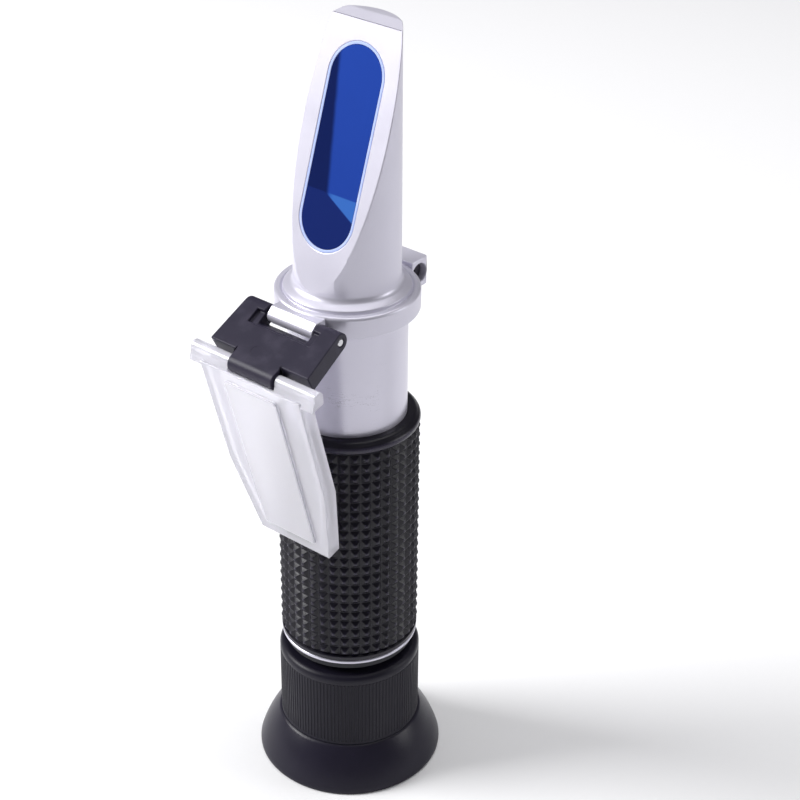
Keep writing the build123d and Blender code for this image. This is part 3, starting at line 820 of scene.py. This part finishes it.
# ---------------------------------------------------------------- the object's sub-assemblies
@dataclass
class PrismHead:
    """Machined head: collar, disc, slanted nose with its window, hinge lug and screw boss."""

    slope: float = 18.58
    chord: Point = (5.955, 165.954)
    bevel_y: float = 7.926
    spigot: Point = (10.93, 101.0)
    collar: Triple = (14.43, 109.7, 114.3)
    disc: Point = (12.6, 115.5)
    nose: Triple = (10.62, 10.32, 167.04)
    bore: Point = (10.0, 114.0)
    window: Point = (38.9, 12.2)
    window_middle: float = -23.9
    wall: float = 1.2
    cavity: tuple[float, float, float, float] = (9.2, 6.9, 113.0, 163.6)
    seal: float = 0.6
    lug: Triple = (5.8, 2.0, 1.45)
    boss: Triple = (5.2, 18.6, 115.2)
    boss_step: Point = (13.6, 113.95)
    screw_head: float = 2.2
    screw_thread: float = 1.5
    pin_hole: float = 0.8
    rounding: float = 0.22
    levels: tuple[float, ...] = (120, 126, 132, 140, 148, 156, 162, 164.5, 165.7, 166.3)
    metal: MetalFinish = MetalFinish(
        "satin_head", (0.68, 0.665, 0.76), (0.61, 0.595, 0.69), 0.38, Pattern.BLASTED, 0.006, 0.45
    )

    def face(self) -> Matrix:
        """Drawing plane on the slanted face, with its zero at the upper edge."""
        return face_place(Vector((0, self.chord[0], self.chord[1])) * MM, 90 - self.slope)

    def body(self) -> bpy.types.Object:
        """Turn the round part of the head.

        Returns:
            The turned body, before any cut.
        """
        collar_r, collar_low, collar_top = self.collar
        disc_r, disc_top = self.disc
        base_r, top_r, top = self.nose
        profile = [(self.spigot[0], self.spigot[1]), (self.spigot[0], collar_low)]
        profile += [(collar_r - 0.45, collar_low), (collar_r - 0.12, collar_low + 0.12)]
        profile += [(collar_r, collar_low + 0.45)]
        profile += rounded((collar_r - 0.7, collar_top - 0.7), 0.7, 0, 90, 6)
        profile += [(disc_r + 0.5, collar_top), (disc_r + 0.3, collar_top - 0.28)]
        profile += [(disc_r + 0.05, collar_top - 0.28)]
        profile += rounded((disc_r - 0.35, collar_top + 0.25), 0.35, 0, 60, 4)
        foot = disc_top + 1.5
        hollow = (base_r + 0.32, disc_top + 0.35)
        profile += bow((disc_r - 1.0, disc_top - 0.15), hollow, (base_r, foot), 8)
        profile += rounded((top_r - 0.35, top - 0.35), 0.35, 0, 90, 4)
        head = Bench.turned("prism_head_machined", profile, 224, hollow=False)
        depth = (self.spigot[1] - 1, self.bore[1])
        bore = Bench.rod("bore", self.bore[0], depth, Matrix.Identity(4), 160)
        Bench.combine(head, bore, Combine.CUT)
        return head

    def build(self) -> bpy.types.Object:
        """Shape the whole head.

        Returns:
            The finished piece.
        """
        head = self.body()
        hinge = pivot("link_hinge")
        side = side_place(Vector((0, 0, 0)), 0)
        half, half_t, nose_r = self.lug
        y, z = hinge.y / MM, hinge.z / MM
        lug = [(y + 3.6, z - half_t), (y + 3.6, z + half_t), (y, z + half_t)]
        lug += rounded((y, z), nose_r, 120, 240, 10) + [(y, z - half_t)]
        Bench.combine(head, Bench.block("lug", lug, (-half, half), side), Combine.JOIN)
        half, out, top = self.boss
        plan = [(-half, 12.3), (half, 12.3)]
        plan += rounded((half - 0.7, out - 0.7), 0.7, 0, 90, 5)
        plan += rounded((0.7 - half, out - 0.7), 0.7, 90, 180, 5)
        boss = Bench.block("boss", plan, (109.0, top), Matrix.Identity(4))
        step_y, step_z = self.boss_step
        step = [(12.0, step_z), (step_y, step_z), (step_y, top + 1), (12.0, top + 1)]
        Bench.combine(boss, Bench.block("boss_step", step, (-6, 6), side), Combine.CUT)
        Bench.combine(head, boss, Combine.JOIN)
        self.cut_face(head, side)
        Bench.combine(head, self.prism_bed(side), Combine.CUT)
        self.cut_window(head)
        turn = pivot("calibration_screw_turn")
        screw = side_place(Vector((0, turn.y, turn.z)), 0)
        holes = [("head_hole", self.screw_head, (2.0, 6.0), screw)]
        holes += [("thread_hole", self.screw_thread, (-4.0, 3.0), screw)]
        holes += [("pin_hole", self.pin_hole, (-7.0, 7.0), side_place(hinge, 0))]
        for hole in holes:
            Bench.combine(head, Bench.rod(*hole), Combine.CUT)
        Bench.soften(head, self.rounding, 3, 45, self.levels)
        Bench.hand_over(head, self.metal.material(), "body", "satin_aluminium", ("prism_head",))
        return head

    def cut_face(self, head: bpy.types.Object, side: Matrix) -> None:
        """Mill the slanted face, the small bevel above it and the soft runout at its foot.

        Args:
            head: The turned head.
            side: Drawing plane across the pins.
        """
        y, z = self.chord
        top = self.nose[2]
        slope = math.tan(math.radians(self.slope))
        foot_z = self.disc[1] + 1.0
        foot_y = y - (z - foot_z) * slope
        cut = [(y, z), (self.bevel_y, top), (self.bevel_y, top + 3)]
        cut += [(-24.0, top + 3), (-24.0, foot_z), (foot_y, foot_z)]
        Bench.combine(head, Bench.block("milled", cut, (-24, 24), side), Combine.CUT)

    def prism_bed(self, side: Matrix) -> bpy.types.Object:
        """Shape the room for the prism: a round-backed bar, flat at both flanks and along the slanted wall.

        Args:
            side: Drawing plane across the pins.

        Returns:
            The solid to cut out.
        """
        radius, half, low, top = self.cavity
        y, z = self.chord
        lean = math.radians(self.slope)
        inner = y + self.wall / math.cos(lean)
        far = 24.0
        bed = Bench.rod("prism_bed", radius, (low, top), Matrix.Identity(4), 96)
        front = [(-far, low - 1), (-far, top + 1)]
        front += [(inner + (h - z) * math.tan(lean), h) for h in (top + 1, low - 1)]
        Bench.combine(bed, Bench.block("slant", front, (-far, far), side), Combine.CUT)
        flank = [(-far, low - 1), (-far, top + 1), (far, top + 1), (far, low - 1)]
        for span in ((-far, -half), (half, far)):
            Bench.combine(bed, Bench.block("flank", flank, span, side), Combine.CUT)
        return bed

    def cut_window(self, head: bpy.types.Object) -> None:
        """Cut the window and the groove of its seal.

        Args:
            head: The milled head.
        """
        length, width = self.window
        face = self.face()
        slot = stadium(length, width, self.window_middle)
        hole = Bench.block("hole", slot, (-2 * self.wall, 1.0), face)
        Bench.combine(head, hole, Combine.CUT)
        wide = stadium(length + 2 * self.seal, width + 2 * self.seal, self.window_middle)
        groove = Bench.block("groove", wide, (-0.55, 0.6), face)
        Bench.combine(head, groove, Combine.CUT)


@dataclass
class WindowSeal:
    """Clear resin bead between the window and the prism."""

    head: PrismHead
    resin: PlasticFinish = PlasticFinish(
        "seal_bead", (0.44, 0.53, 0.86), (0.56, 0.64, 0.92), 0.34, 0.004
    )

    def build(self) -> bpy.types.Object:
        """Shape the bead with a rounded top.

        Returns:
            The finished piece.
        """
        length, width = self.head.window
        middle, seal = self.head.window_middle, self.head.seal
        face = self.head.face()
        outline = stadium(length + 2 * seal - 0.02, width + 2 * seal - 0.02, middle)
        bead = Bench.block("prism_seal_bead", outline, (-0.5, -0.02), face)
        hole = Bench.block("bead_hole", stadium(length + 0.02, width + 0.02, middle), (-2, 2), face)
        Bench.combine(bead, hole, Combine.CUT)
        Bench.soften(bead, 0.14, 2, 40)
        Bench.hand_over(bead, self.resin.material(), "body", "seal_resin", ("prism_seal",))
        return bead


@dataclass
class HingeLink:
    """Black moulded link between the head's lug and the daylight plate."""

    pitch: float = 12.3
    half_t: float = 1.9
    shoulder: float = 10.4
    ear_half: float = 11.75
    end_half: float = 12.45
    knuckle_half: float = 5.7
    notch_half: float = 6.1
    pocket: float = 1.8
    plastic: PlasticFinish = PlasticFinish(
        "link_plastic", (0.020, 0.017, 0.034), (0.036, 0.031, 0.054), 0.42, 0.012, 0.25
    )

    def place(self) -> tuple[Matrix, Matrix]:
        """Drawing planes: across the pins, and on the top with the pins along its first axis."""
        first, second = pivot("link_hinge"), pivot("plate_hinge")
        way = second - first
        degrees = math.degrees(math.atan2(way.z, way.y))
        side = side_place(first, degrees)
        flat = face_place(first, degrees)
        return side, flat

    def build(self) -> bpy.types.Object:
        """Shape the link.

        Returns:
            The finished piece.
        """
        side, flat = self.place()
        t, shoulder = self.half_t, self.shoulder
        ear_half, end_half = self.ear_half, self.end_half
        plan = [(-ear_half, -t), (ear_half, -t), (end_half, shoulder), (-end_half, shoulder)]
        link = Bench.block("hinge_link_moulded", plan, (-t, t), flat)
        ear = [(-4, -4), (0, -4), (0, -t)] + rounded((0, 0), t, 270, 90, 16)[1:-1]
        ear += [(0, t), (0, 4), (-4, 4)]
        Bench.combine(link, Bench.block("ear_round", ear, (-20, 20), side), Combine.CUT)
        knuckle = [(shoulder - 1, -t), (self.pitch, -t)] + rounded((self.pitch, 0), t, -90, 90, 16)[1:-1]
        knuckle += [(self.pitch, t), (shoulder - 1, t)]
        half = self.knuckle_half
        Bench.combine(link, Bench.block("knuckle", knuckle, (-half, half), side), Combine.JOIN)
        top, low = self.faces_up(side)
        wrap = [(1.3, -4.0 * top), (1.3, low), (1.66, low * 0.853)]
        wrap += [(2.02, low * 0.605), (2.25, low * 0.316), (2.75, 0.0)]
        ramp = [(-4.0, -4.0 * top)] + wrap + [(4.1, -low), (4.1, 4.0 * top), (-4.0, 4.0 * top)]
        notch = self.notch_half
        Bench.combine(link, Bench.block("notch", ramp, (-notch, notch), side), Combine.CUT)
        reach = self.notch_half + self.pocket
        pocket = [(0.8, 1.1 * top), (4.1, 1.1 * top), (4.1, 3.0 * top), (0.8, 3.0 * top)]
        Bench.combine(link, Bench.block("pocket", pocket, (-reach, reach), side), Combine.CUT)
        Bench.combine(link, Bench.rod("pin1", 0.84, (-20, 20), side), Combine.CUT)
        away = Matrix.Translation(pivot("plate_hinge") - pivot("link_hinge"))
        Bench.combine(link, Bench.rod("pin2", 0.76, (-20, 20), away @ side), Combine.CUT)
        Bench.soften(link, 0.26, 3, 40)
        mark = [(x - 1.6, y + 9.3) for x, y in rounded((0, 0), 1.0, 0, 345, 23)]
        depth = (t - 0.035, t + 1) if top > 0 else (-t - 1, -t + 0.035)
        Bench.combine(link, Bench.block("ejector_mark", mark, depth, flat), Combine.CUT)
        Bench.hand_over(link, self.plastic.material(), "link", "hinge_plastic", ("hinge_link",))
        return link

    def faces_up(self, side: Matrix) -> Point:
        """Sign of the drawing's second axis that points to the link's top.

        Args:
            side: Drawing plane across the pins.

        Returns:
            The sign, and the second coordinate of the notch's deep edge.
        """
        top = 1.0 if side.col[1].z > 0 else -1.0
        return top, -self.half_t * top


@dataclass
class DaylightPlate:
    """Clear tray that spreads the sample on the prism, with its two hinge barrels."""

    length: float = 45.4
    kink: float = 26.8
    half: float = 12.8
    tip_half: float = 9.2
    flange_half: float = 15.9
    barrel: float = 1.3
    gap_half: float = 6.0
    rim: float = 2.4
    panel_back: float = 0.9
    wall_back: float = -0.9
    wall: float = 2.0
    pad: tuple[float, float, float, float] = (6.7, 3.2, 42.0, 3.01)
    lean: float = 285.52

    def outline(self, inset: float, start: float) -> Outline:
        """Face-on outline.

        Args:
            inset: How far it lies inside the plate's edge.
            start: Distance of its upper end from the pin.

        Returns:
            The corners, with the plate's length along the second axis.
        """
        wide, tip = self.half - inset, self.tip_half - inset
        end = self.length - (0.0 if inset == 0 else 1.6)
        left = [(-wide, start), (-wide, self.kink), (-tip, end)]
        return left + [(-x, y) for x, y in reversed(left)]

    def build(self) -> bpy.types.Object:
        """Shape the plate.

        Returns:
            The finished piece.
        """
        hinge = pivot("plate_hinge")
        flat = face_place(hinge, self.lean)
        side = side_place(hinge, self.lean)
        out = -1.0 if flat.col[2].y > 0 else 1.0
        facing = -1.0 if side.col[1].y > 0 else 1.0
        whole = self.span(out, self.wall_back, self.rim)
        plate = Bench.block("daylight_plate_clear", self.outline(0, 1.0), whole, flat)
        deep = self.span(out, self.wall_back - 2, self.panel_back)
        tray = Bench.block("tray", self.outline(self.wall, 0.0), deep, flat)
        Bench.combine(plate, tray, Combine.CUT)
        half, start, end, top = self.pad
        spots = ((half, end, 0), (-half, end, 90), (-half, start, 180), (half, start, 270))
        corner: Outline = []
        for x, y, turn in spots:
            inner = (x - math.copysign(0.8, x), y - (0.8 if y == end else -0.8))
            corner += rounded(inner, 0.8, turn, turn + 90, 4)
        raised = self.span(out, self.rim - 0.4, top)
        Bench.combine(plate, Bench.block("pad", corner, raised, flat), Combine.JOIN)
        Bench.soften(plate, 0.22, 3, 35)
        web = [(1.9, self.wall_back * facing), (1.9, self.rim * facing)]
        round_end = rounded((0, 0), self.barrel, 90 * facing, 270 * facing, 18)
        flange = self.flange_half
        barrel = Bench.block("barrel", web + round_end, (-flange, flange), side)
        Bench.soften(barrel, 0.2, 2, 35)
        Bench.combine(plate, barrel, Combine.JOIN)
        gap = [(-4.0, -2.2), (0.0, -2.2)] + rounded((0, 0), 2.2, -90, 90, 16)[1:-1]
        gap += [(0.0, 2.2), (-4.0, 2.2)]
        reach = self.gap_half
        Bench.combine(plate, Bench.block("gap", gap, (-reach, reach), side), Combine.CUT)
        Bench.combine(plate, Bench.rod("pin", 0.79, (-10.7, 10.7), side), Combine.CUT)
        normal = flat.col[2].xyz * out
        clear = ClearFinish(
            "plate_clear", (0.92, 0.91, 0.99), (0.97, 0.96, 1.0), 0.09, 0.55, hinge, normal, top
        )
        Bench.hand_over(plate, clear.material(), "plate", "clear_plate", ("daylight_plate",))
        return plate

    @staticmethod
    def span(out: float, low: float, high: float) -> Point:
        """Turn two offsets towards the prism side into a block's span."""
        return (low, high) if out > 0 else (-high, -low)


@dataclass
class Tube:
    """Turned tube with the moulded grip and the two rings under it."""

    columns: int = 39
    rows: int = 22
    field_low: float = 33.6
    field_high: float = 83.5
    relief: float = 0.8
    metal: MetalFinish = MetalFinish(
        "satin_tube", (0.68, 0.665, 0.76), (0.61, 0.595, 0.69), 0.30, Pattern.TURNED, 0.005, 0.50
    )
    black: MetalFinish = MetalFinish(
        "stop_ring_black",
        (0.030, 0.030, 0.036),
        (0.018, 0.018, 0.022),
        0.45,
        Pattern.TURNED,
        0.004,
        0.6,
    )
    ring_bore: float = 12.02
    tube_bore: float = 11.0
    # The paler colour on the pyramid tips is wear and a painted highlight.
    rubber: RubberFinish = RubberFinish(
        "grip_rubber", (0.004, 0.003, 0.009), (0.042, 0.037, 0.062), 0.34, 14.45, 14.75, 0.30
    )

    def build_grip(self) -> bpy.types.Object:
        """Shape the grip: a turned core and a field of square pyramids.

        Returns:
            The finished piece.
        """
        low, high = corners_mm("grip_sleeve")
        out = high.x
        floor = out - self.relief
        inner, foot, head = self.ring_bore, self.field_low, self.field_high
        core = [(inner, low.z), (out - 0.5, low.z), (out - 0.2, low.z + 0.3), (out - 0.2, foot - 0.15)]
        core += [(floor, foot + 0.1), (floor - 0.3, foot + 0.2), (floor - 0.3, head - 0.2)]
        core += [(floor - 0.05, head), (floor - 0.05, head + 0.35)]
        core += bow((out - 0.35, head + 0.45), (out, head + 1.1), (out - 0.5, high.z - 0.65), 8)
        core += bow((out - 0.7, high.z - 0.45), (out - 1.1, high.z - 0.12), (out - 1.7, high.z), 5)
        core += [(inner, high.z)]
        sleeve = Bench.turned("grip_sleeve_moulded", core, 156)
        pitch = (self.field_high - self.field_low) / self.rows
        band = [(floor, self.field_low + pitch * i) for i in range(self.rows + 1)]
        band += [(floor - 1.0, self.field_high), (floor - 1.0, self.field_low)]
        studs = Bench.turned("pyramids", band, self.columns)
        Bench.pick(studs)
        bpy.ops.object.mode_set(mode="EDIT")
        Bench.select_faces(
            studs, lambda c, n: abs(n.z) < 0.1 and math.hypot(c.x, c.y) > floor - 0.3
        )
        bpy.ops.mesh.inset(thickness=0.10 * MM, depth=0.0, use_individual=True)
        bpy.ops.mesh.inset(thickness=0.80 * MM, depth=self.relief * 0.96 * MM, use_individual=True)
        bpy.ops.object.mode_set(mode="OBJECT")
        Bench.soften(studs, 0.12, 2, 20)
        Bench.pick(sleeve)
        studs.select_set(True)
        bpy.ops.object.join()
        rubber = self.rubber.material()
        Bench.hand_over(sleeve, rubber, "body", "grip_rubber", ("grip_sleeve",), 60)
        return sleeve

    def build_ring(
        self, node: str, slot: str, material: bpy.types.Material, edge: float
    ) -> bpy.types.Object:
        """Turn a plain ring or tube with broken edges.

        Args:
            node: CAD node that gives its place.
            slot: Slot of the record's materials.
            material: Its material.
            edge: Radius of the broken edges.

        Returns:
            The finished piece.
        """
        low, high = corners_mm(node)
        out = high.x
        inner = self.tube_bore if node == "main_tube" else self.ring_bore
        profile = [(inner, low.z)] + rounded((out - edge, low.z + edge), edge, -90, 0, 4)
        profile += rounded((out - edge, high.z - edge), edge, 0, 90, 4) + [(inner, high.z)]
        ring = Bench.turned(f"{node}_turned", profile, 192)
        Bench.hand_over(ring, material, "body", slot, (node,))
        return ring


@dataclass
class Eyecup:
    """Rubber eyecup: a ribbed sleeve over a flared rim."""

    ribs: int = 120
    rib_low: float = 10.6
    rib_high: float = 26.2
    rib_height: float = 0.12
    sleeve: float = 15.15
    crease: float = 9.9
    rubber: RubberFinish = RubberFinish(
        "cup_rubber", (0.009, 0.008, 0.016), (0.016, 0.014, 0.026), 0.40, 15.0, 15.6, 0.22
    )

    def build(self) -> bpy.types.Object:
        """Shape the cup.

        Returns:
            The finished piece.
        """
        low, high = corners_mm("eyecup")
        rim, top = high.x, high.z
        base = self.sleeve - 0.12
        profile = bow((self.sleeve + 0.25, self.crease - 0.1), (18.15, 5.5), (rim, 0.9), 18)
        profile += rounded((rim - 0.5, 0.5), 0.5, 0, -90, 5) + [(rim - 1.6, 0.0)]
        profile += bow((rim - 1.75, 0.2), (15.2, 5.6), (10.4, 9.0), 14)
        profile += [(10.4, 9.95), (13.05, 9.95), (13.05, 26.55), (10.98, 26.55)]
        profile += [(10.98, top - 0.3), (11.3, top)]
        profile += rounded((self.sleeve - 1.3, top - 1.3), 1.3, 90, 0, 8)
        profile += [(self.sleeve, self.rib_high + 0.25), (base, self.rib_high)]
        profile += [(base, self.rib_low), (self.sleeve, self.rib_low - 0.2)]
        profile += [(self.sleeve, self.crease + 0.15), (self.sleeve - 0.1, self.crease)]
        cup = Bench.turned("eyecup_moulded", profile, 2 * self.ribs)
        Bench.pick(cup)
        bpy.ops.object.mode_set(mode="EDIT")
        step = 2 * math.pi / (2 * self.ribs)

        def on_rib(centre: Vector, normal: Vector) -> bool:
            """Every other face of the plain band."""
            outside = math.hypot(centre.x, centre.y) > 14
            column = math.floor(math.atan2(centre.y, centre.x) / step)
            return outside and self.rib_low < centre.z < self.rib_high and column % 2 == 0

        Bench.select_faces(cup, on_rib)
        bpy.ops.mesh.inset(thickness=0.07 * MM, depth=self.rib_height * MM, use_individual=True)
        bpy.ops.object.mode_set(mode="OBJECT")
        Bench.hand_over(cup, self.rubber.material(), "eyecup", "cup_rubber", ("eyecup",), 38)
        return cup


@dataclass
class CarriedOver:
    """CAD nodes that keep their shape and get a worked finish."""

    head: PrismHead

    def finishes(self) -> dict[str, bpy.types.Material]:
        """Materials by the record's slot."""
        turned, ground = Pattern.TURNED, Pattern.BLASTED
        black = MetalFinish(
            "black_anodised", (0.030, 0.030, 0.036), (0.018, 0.018, 0.022), 0.48, turned, 0.004, 0.6
        )
        steel = MetalFinish(
            "ground_steel", (0.72, 0.72, 0.74), (0.55, 0.55, 0.58), 0.26, ground, 0.003
        )
        # The screw is dark steel, darkened further as painted shade for the deep hole that it sits in.
        screw = MetalFinish(
            "screw_steel", (0.075, 0.070, 0.085), (0.045, 0.042, 0.052), 0.34, turned, 0.004, 0.8
        )
        strip = MetalFinish(
            "rolled_strip", (0.70, 0.52, 0.34), (0.60, 0.44, 0.28), 0.34, ground, 0.003
        )
        seal = RubberFinish(
            "ring_rubber", (0.014, 0.014, 0.016), (0.024, 0.024, 0.026), 0.30, 10.6, 11.0
        )
        face = self.head.face()
        prism = PrismFinish("blue_prism", face.translation.copy(), face.col[1].xyz.copy())
        lens = LensFinish("coated_glass", (0.90, 0.93, 0.95), (0.80, 0.88, 0.96))
        return {
            "black_anodised": black.material(),
            "pin_steel": steel.material(),
            "screw_steel": screw.material(),
            "bimetal": strip.material(),
            "o_ring_rubber": seal.material(),
            "prism_glass": prism.material(),
            "lens_glass": lens.material(),
        }

    def build(self) -> None:
        """Dress every CAD node whose slot has a finish here."""
        finishes = self.finishes()
        slots = {part["node"]: part["material_slot"] for part in frame["record"]["subparts"]}
        for name, node in frame["nodes"].items():
            material = finishes.get(slots[name])
            if material is None:
                continue
            for place in node.material_slots:
                place.material = material
            LOG.info("%s: %s", name, material.name)


@dataclass
class Studio:
    """Floor, soft lights and camera."""

    azimuth: float = 39.213
    elevation: float = 30.849
    roll: float = 0.619
    distance: float = 376.26
    aside: float = 10.473
    height: float = 88.064
    focal: float = 83.8

    def build(self) -> None:
        """Set up the whole studio."""
        self.floor()
        self.lights()
        self.camera()

    def floor(self) -> None:
        """Lay a wide sheet of pale paper under the object."""
        Bench.clear()
        bpy.ops.mesh.primitive_plane_add(size=6.0, location=(0, 0, 0))
        sheet = bpy.context.object
        sheet.name = "studio_floor"
        sheet.data.materials.append(PaperFinish("studio_paper", (0.93, 0.93, 0.94)).material())

    def lights(self) -> None:
        """Hang the soft lights and light the room evenly."""
        self.softbox("key_light", (-0.72, -0.56, 0.68), 0.50, 14.0)
        self.softbox("side_light", (0.80, 0.60, 0.40), 0.40, 2.5)
        self.softbox("top_light", (-0.05, 0.25, 1.25), 1.10, 8.5)
        world = bpy.data.worlds.new("studio_room")
        world.use_nodes = True
        ground = world.node_tree.nodes["Background"]
        ground.inputs["Color"].default_value = (0.95, 0.94, 1.0, 1.0)
        ground.inputs["Strength"].default_value = 0.15
        bpy.context.scene.world = world
        bpy.context.scene.view_settings.view_transform = "Standard"

    @staticmethod
    def softbox(name: str, spot: Triple, size: float, power: float) -> None:
        """Hang one square soft light that looks at the middle of the object.

        Args:
            name: Name of the light.
            spot: Its place in metres.
            size: Its side in metres.
            power: Its power in watts.
        """
        aim = Vector((0, 0, 0.09)) - Vector(spot)
        turn = aim.to_track_quat("-Z", "Y").to_euler()
        bpy.ops.object.light_add(type="AREA", location=spot, rotation=turn)
        lamp = bpy.context.object
        lamp.name = name
        lamp.data.size = size
        lamp.data.energy = power

    def camera(self) -> None:
        """Place the camera at its measured angle."""
        a, e, r = (math.radians(v) for v in (self.azimuth, self.elevation, self.roll))
        back = Vector((math.sin(a) * math.cos(e), -math.cos(a) * math.cos(e), math.sin(e)))
        right = Vector((math.cos(a), math.sin(a), 0))
        up = back.cross(right)
        tilted_right = right * math.cos(r) + up * math.sin(r)
        tilted_up = up * math.cos(r) - right * math.sin(r)
        target = right * self.aside + Vector((0, 0, self.height))
        Bench.clear()
        bpy.ops.object.camera_add()
        camera = bpy.context.object
        turn = Matrix((tilted_right, tilted_up, back)).transposed().to_4x4()
        camera.matrix_world = Matrix.Translation((target + back * self.distance) * MM) @ turn
        camera.data.lens = self.focal
        camera.data.sensor_width = 36.0
        camera.data.clip_start = 0.01
        bpy.context.scene.camera = camera


def main() -> None:
    """Build every sub-assembly in order, then the studio."""
    logging.basicConfig(level=logging.INFO, format="%(name)s: %(message)s")
    head = PrismHead()
    head.build()
    WindowSeal(head).build()
    HingeLink().build()
    DaylightPlate().build()
    tube = Tube()
    tube.build_grip()
    metal = tube.metal.material()
    tube.build_ring("main_tube", "tube_aluminium", metal, 0.15)
    tube.build_ring("trim_ring", "tube_aluminium", metal, 0.3)
    tube.build_ring("stop_ring", "black_anodised", tube.black.material(), 0.2)
    Eyecup().build()
    CarriedOver(head).build()
    Studio().build()
    Bench.clear()


if __name__ == "__main__":
    main()
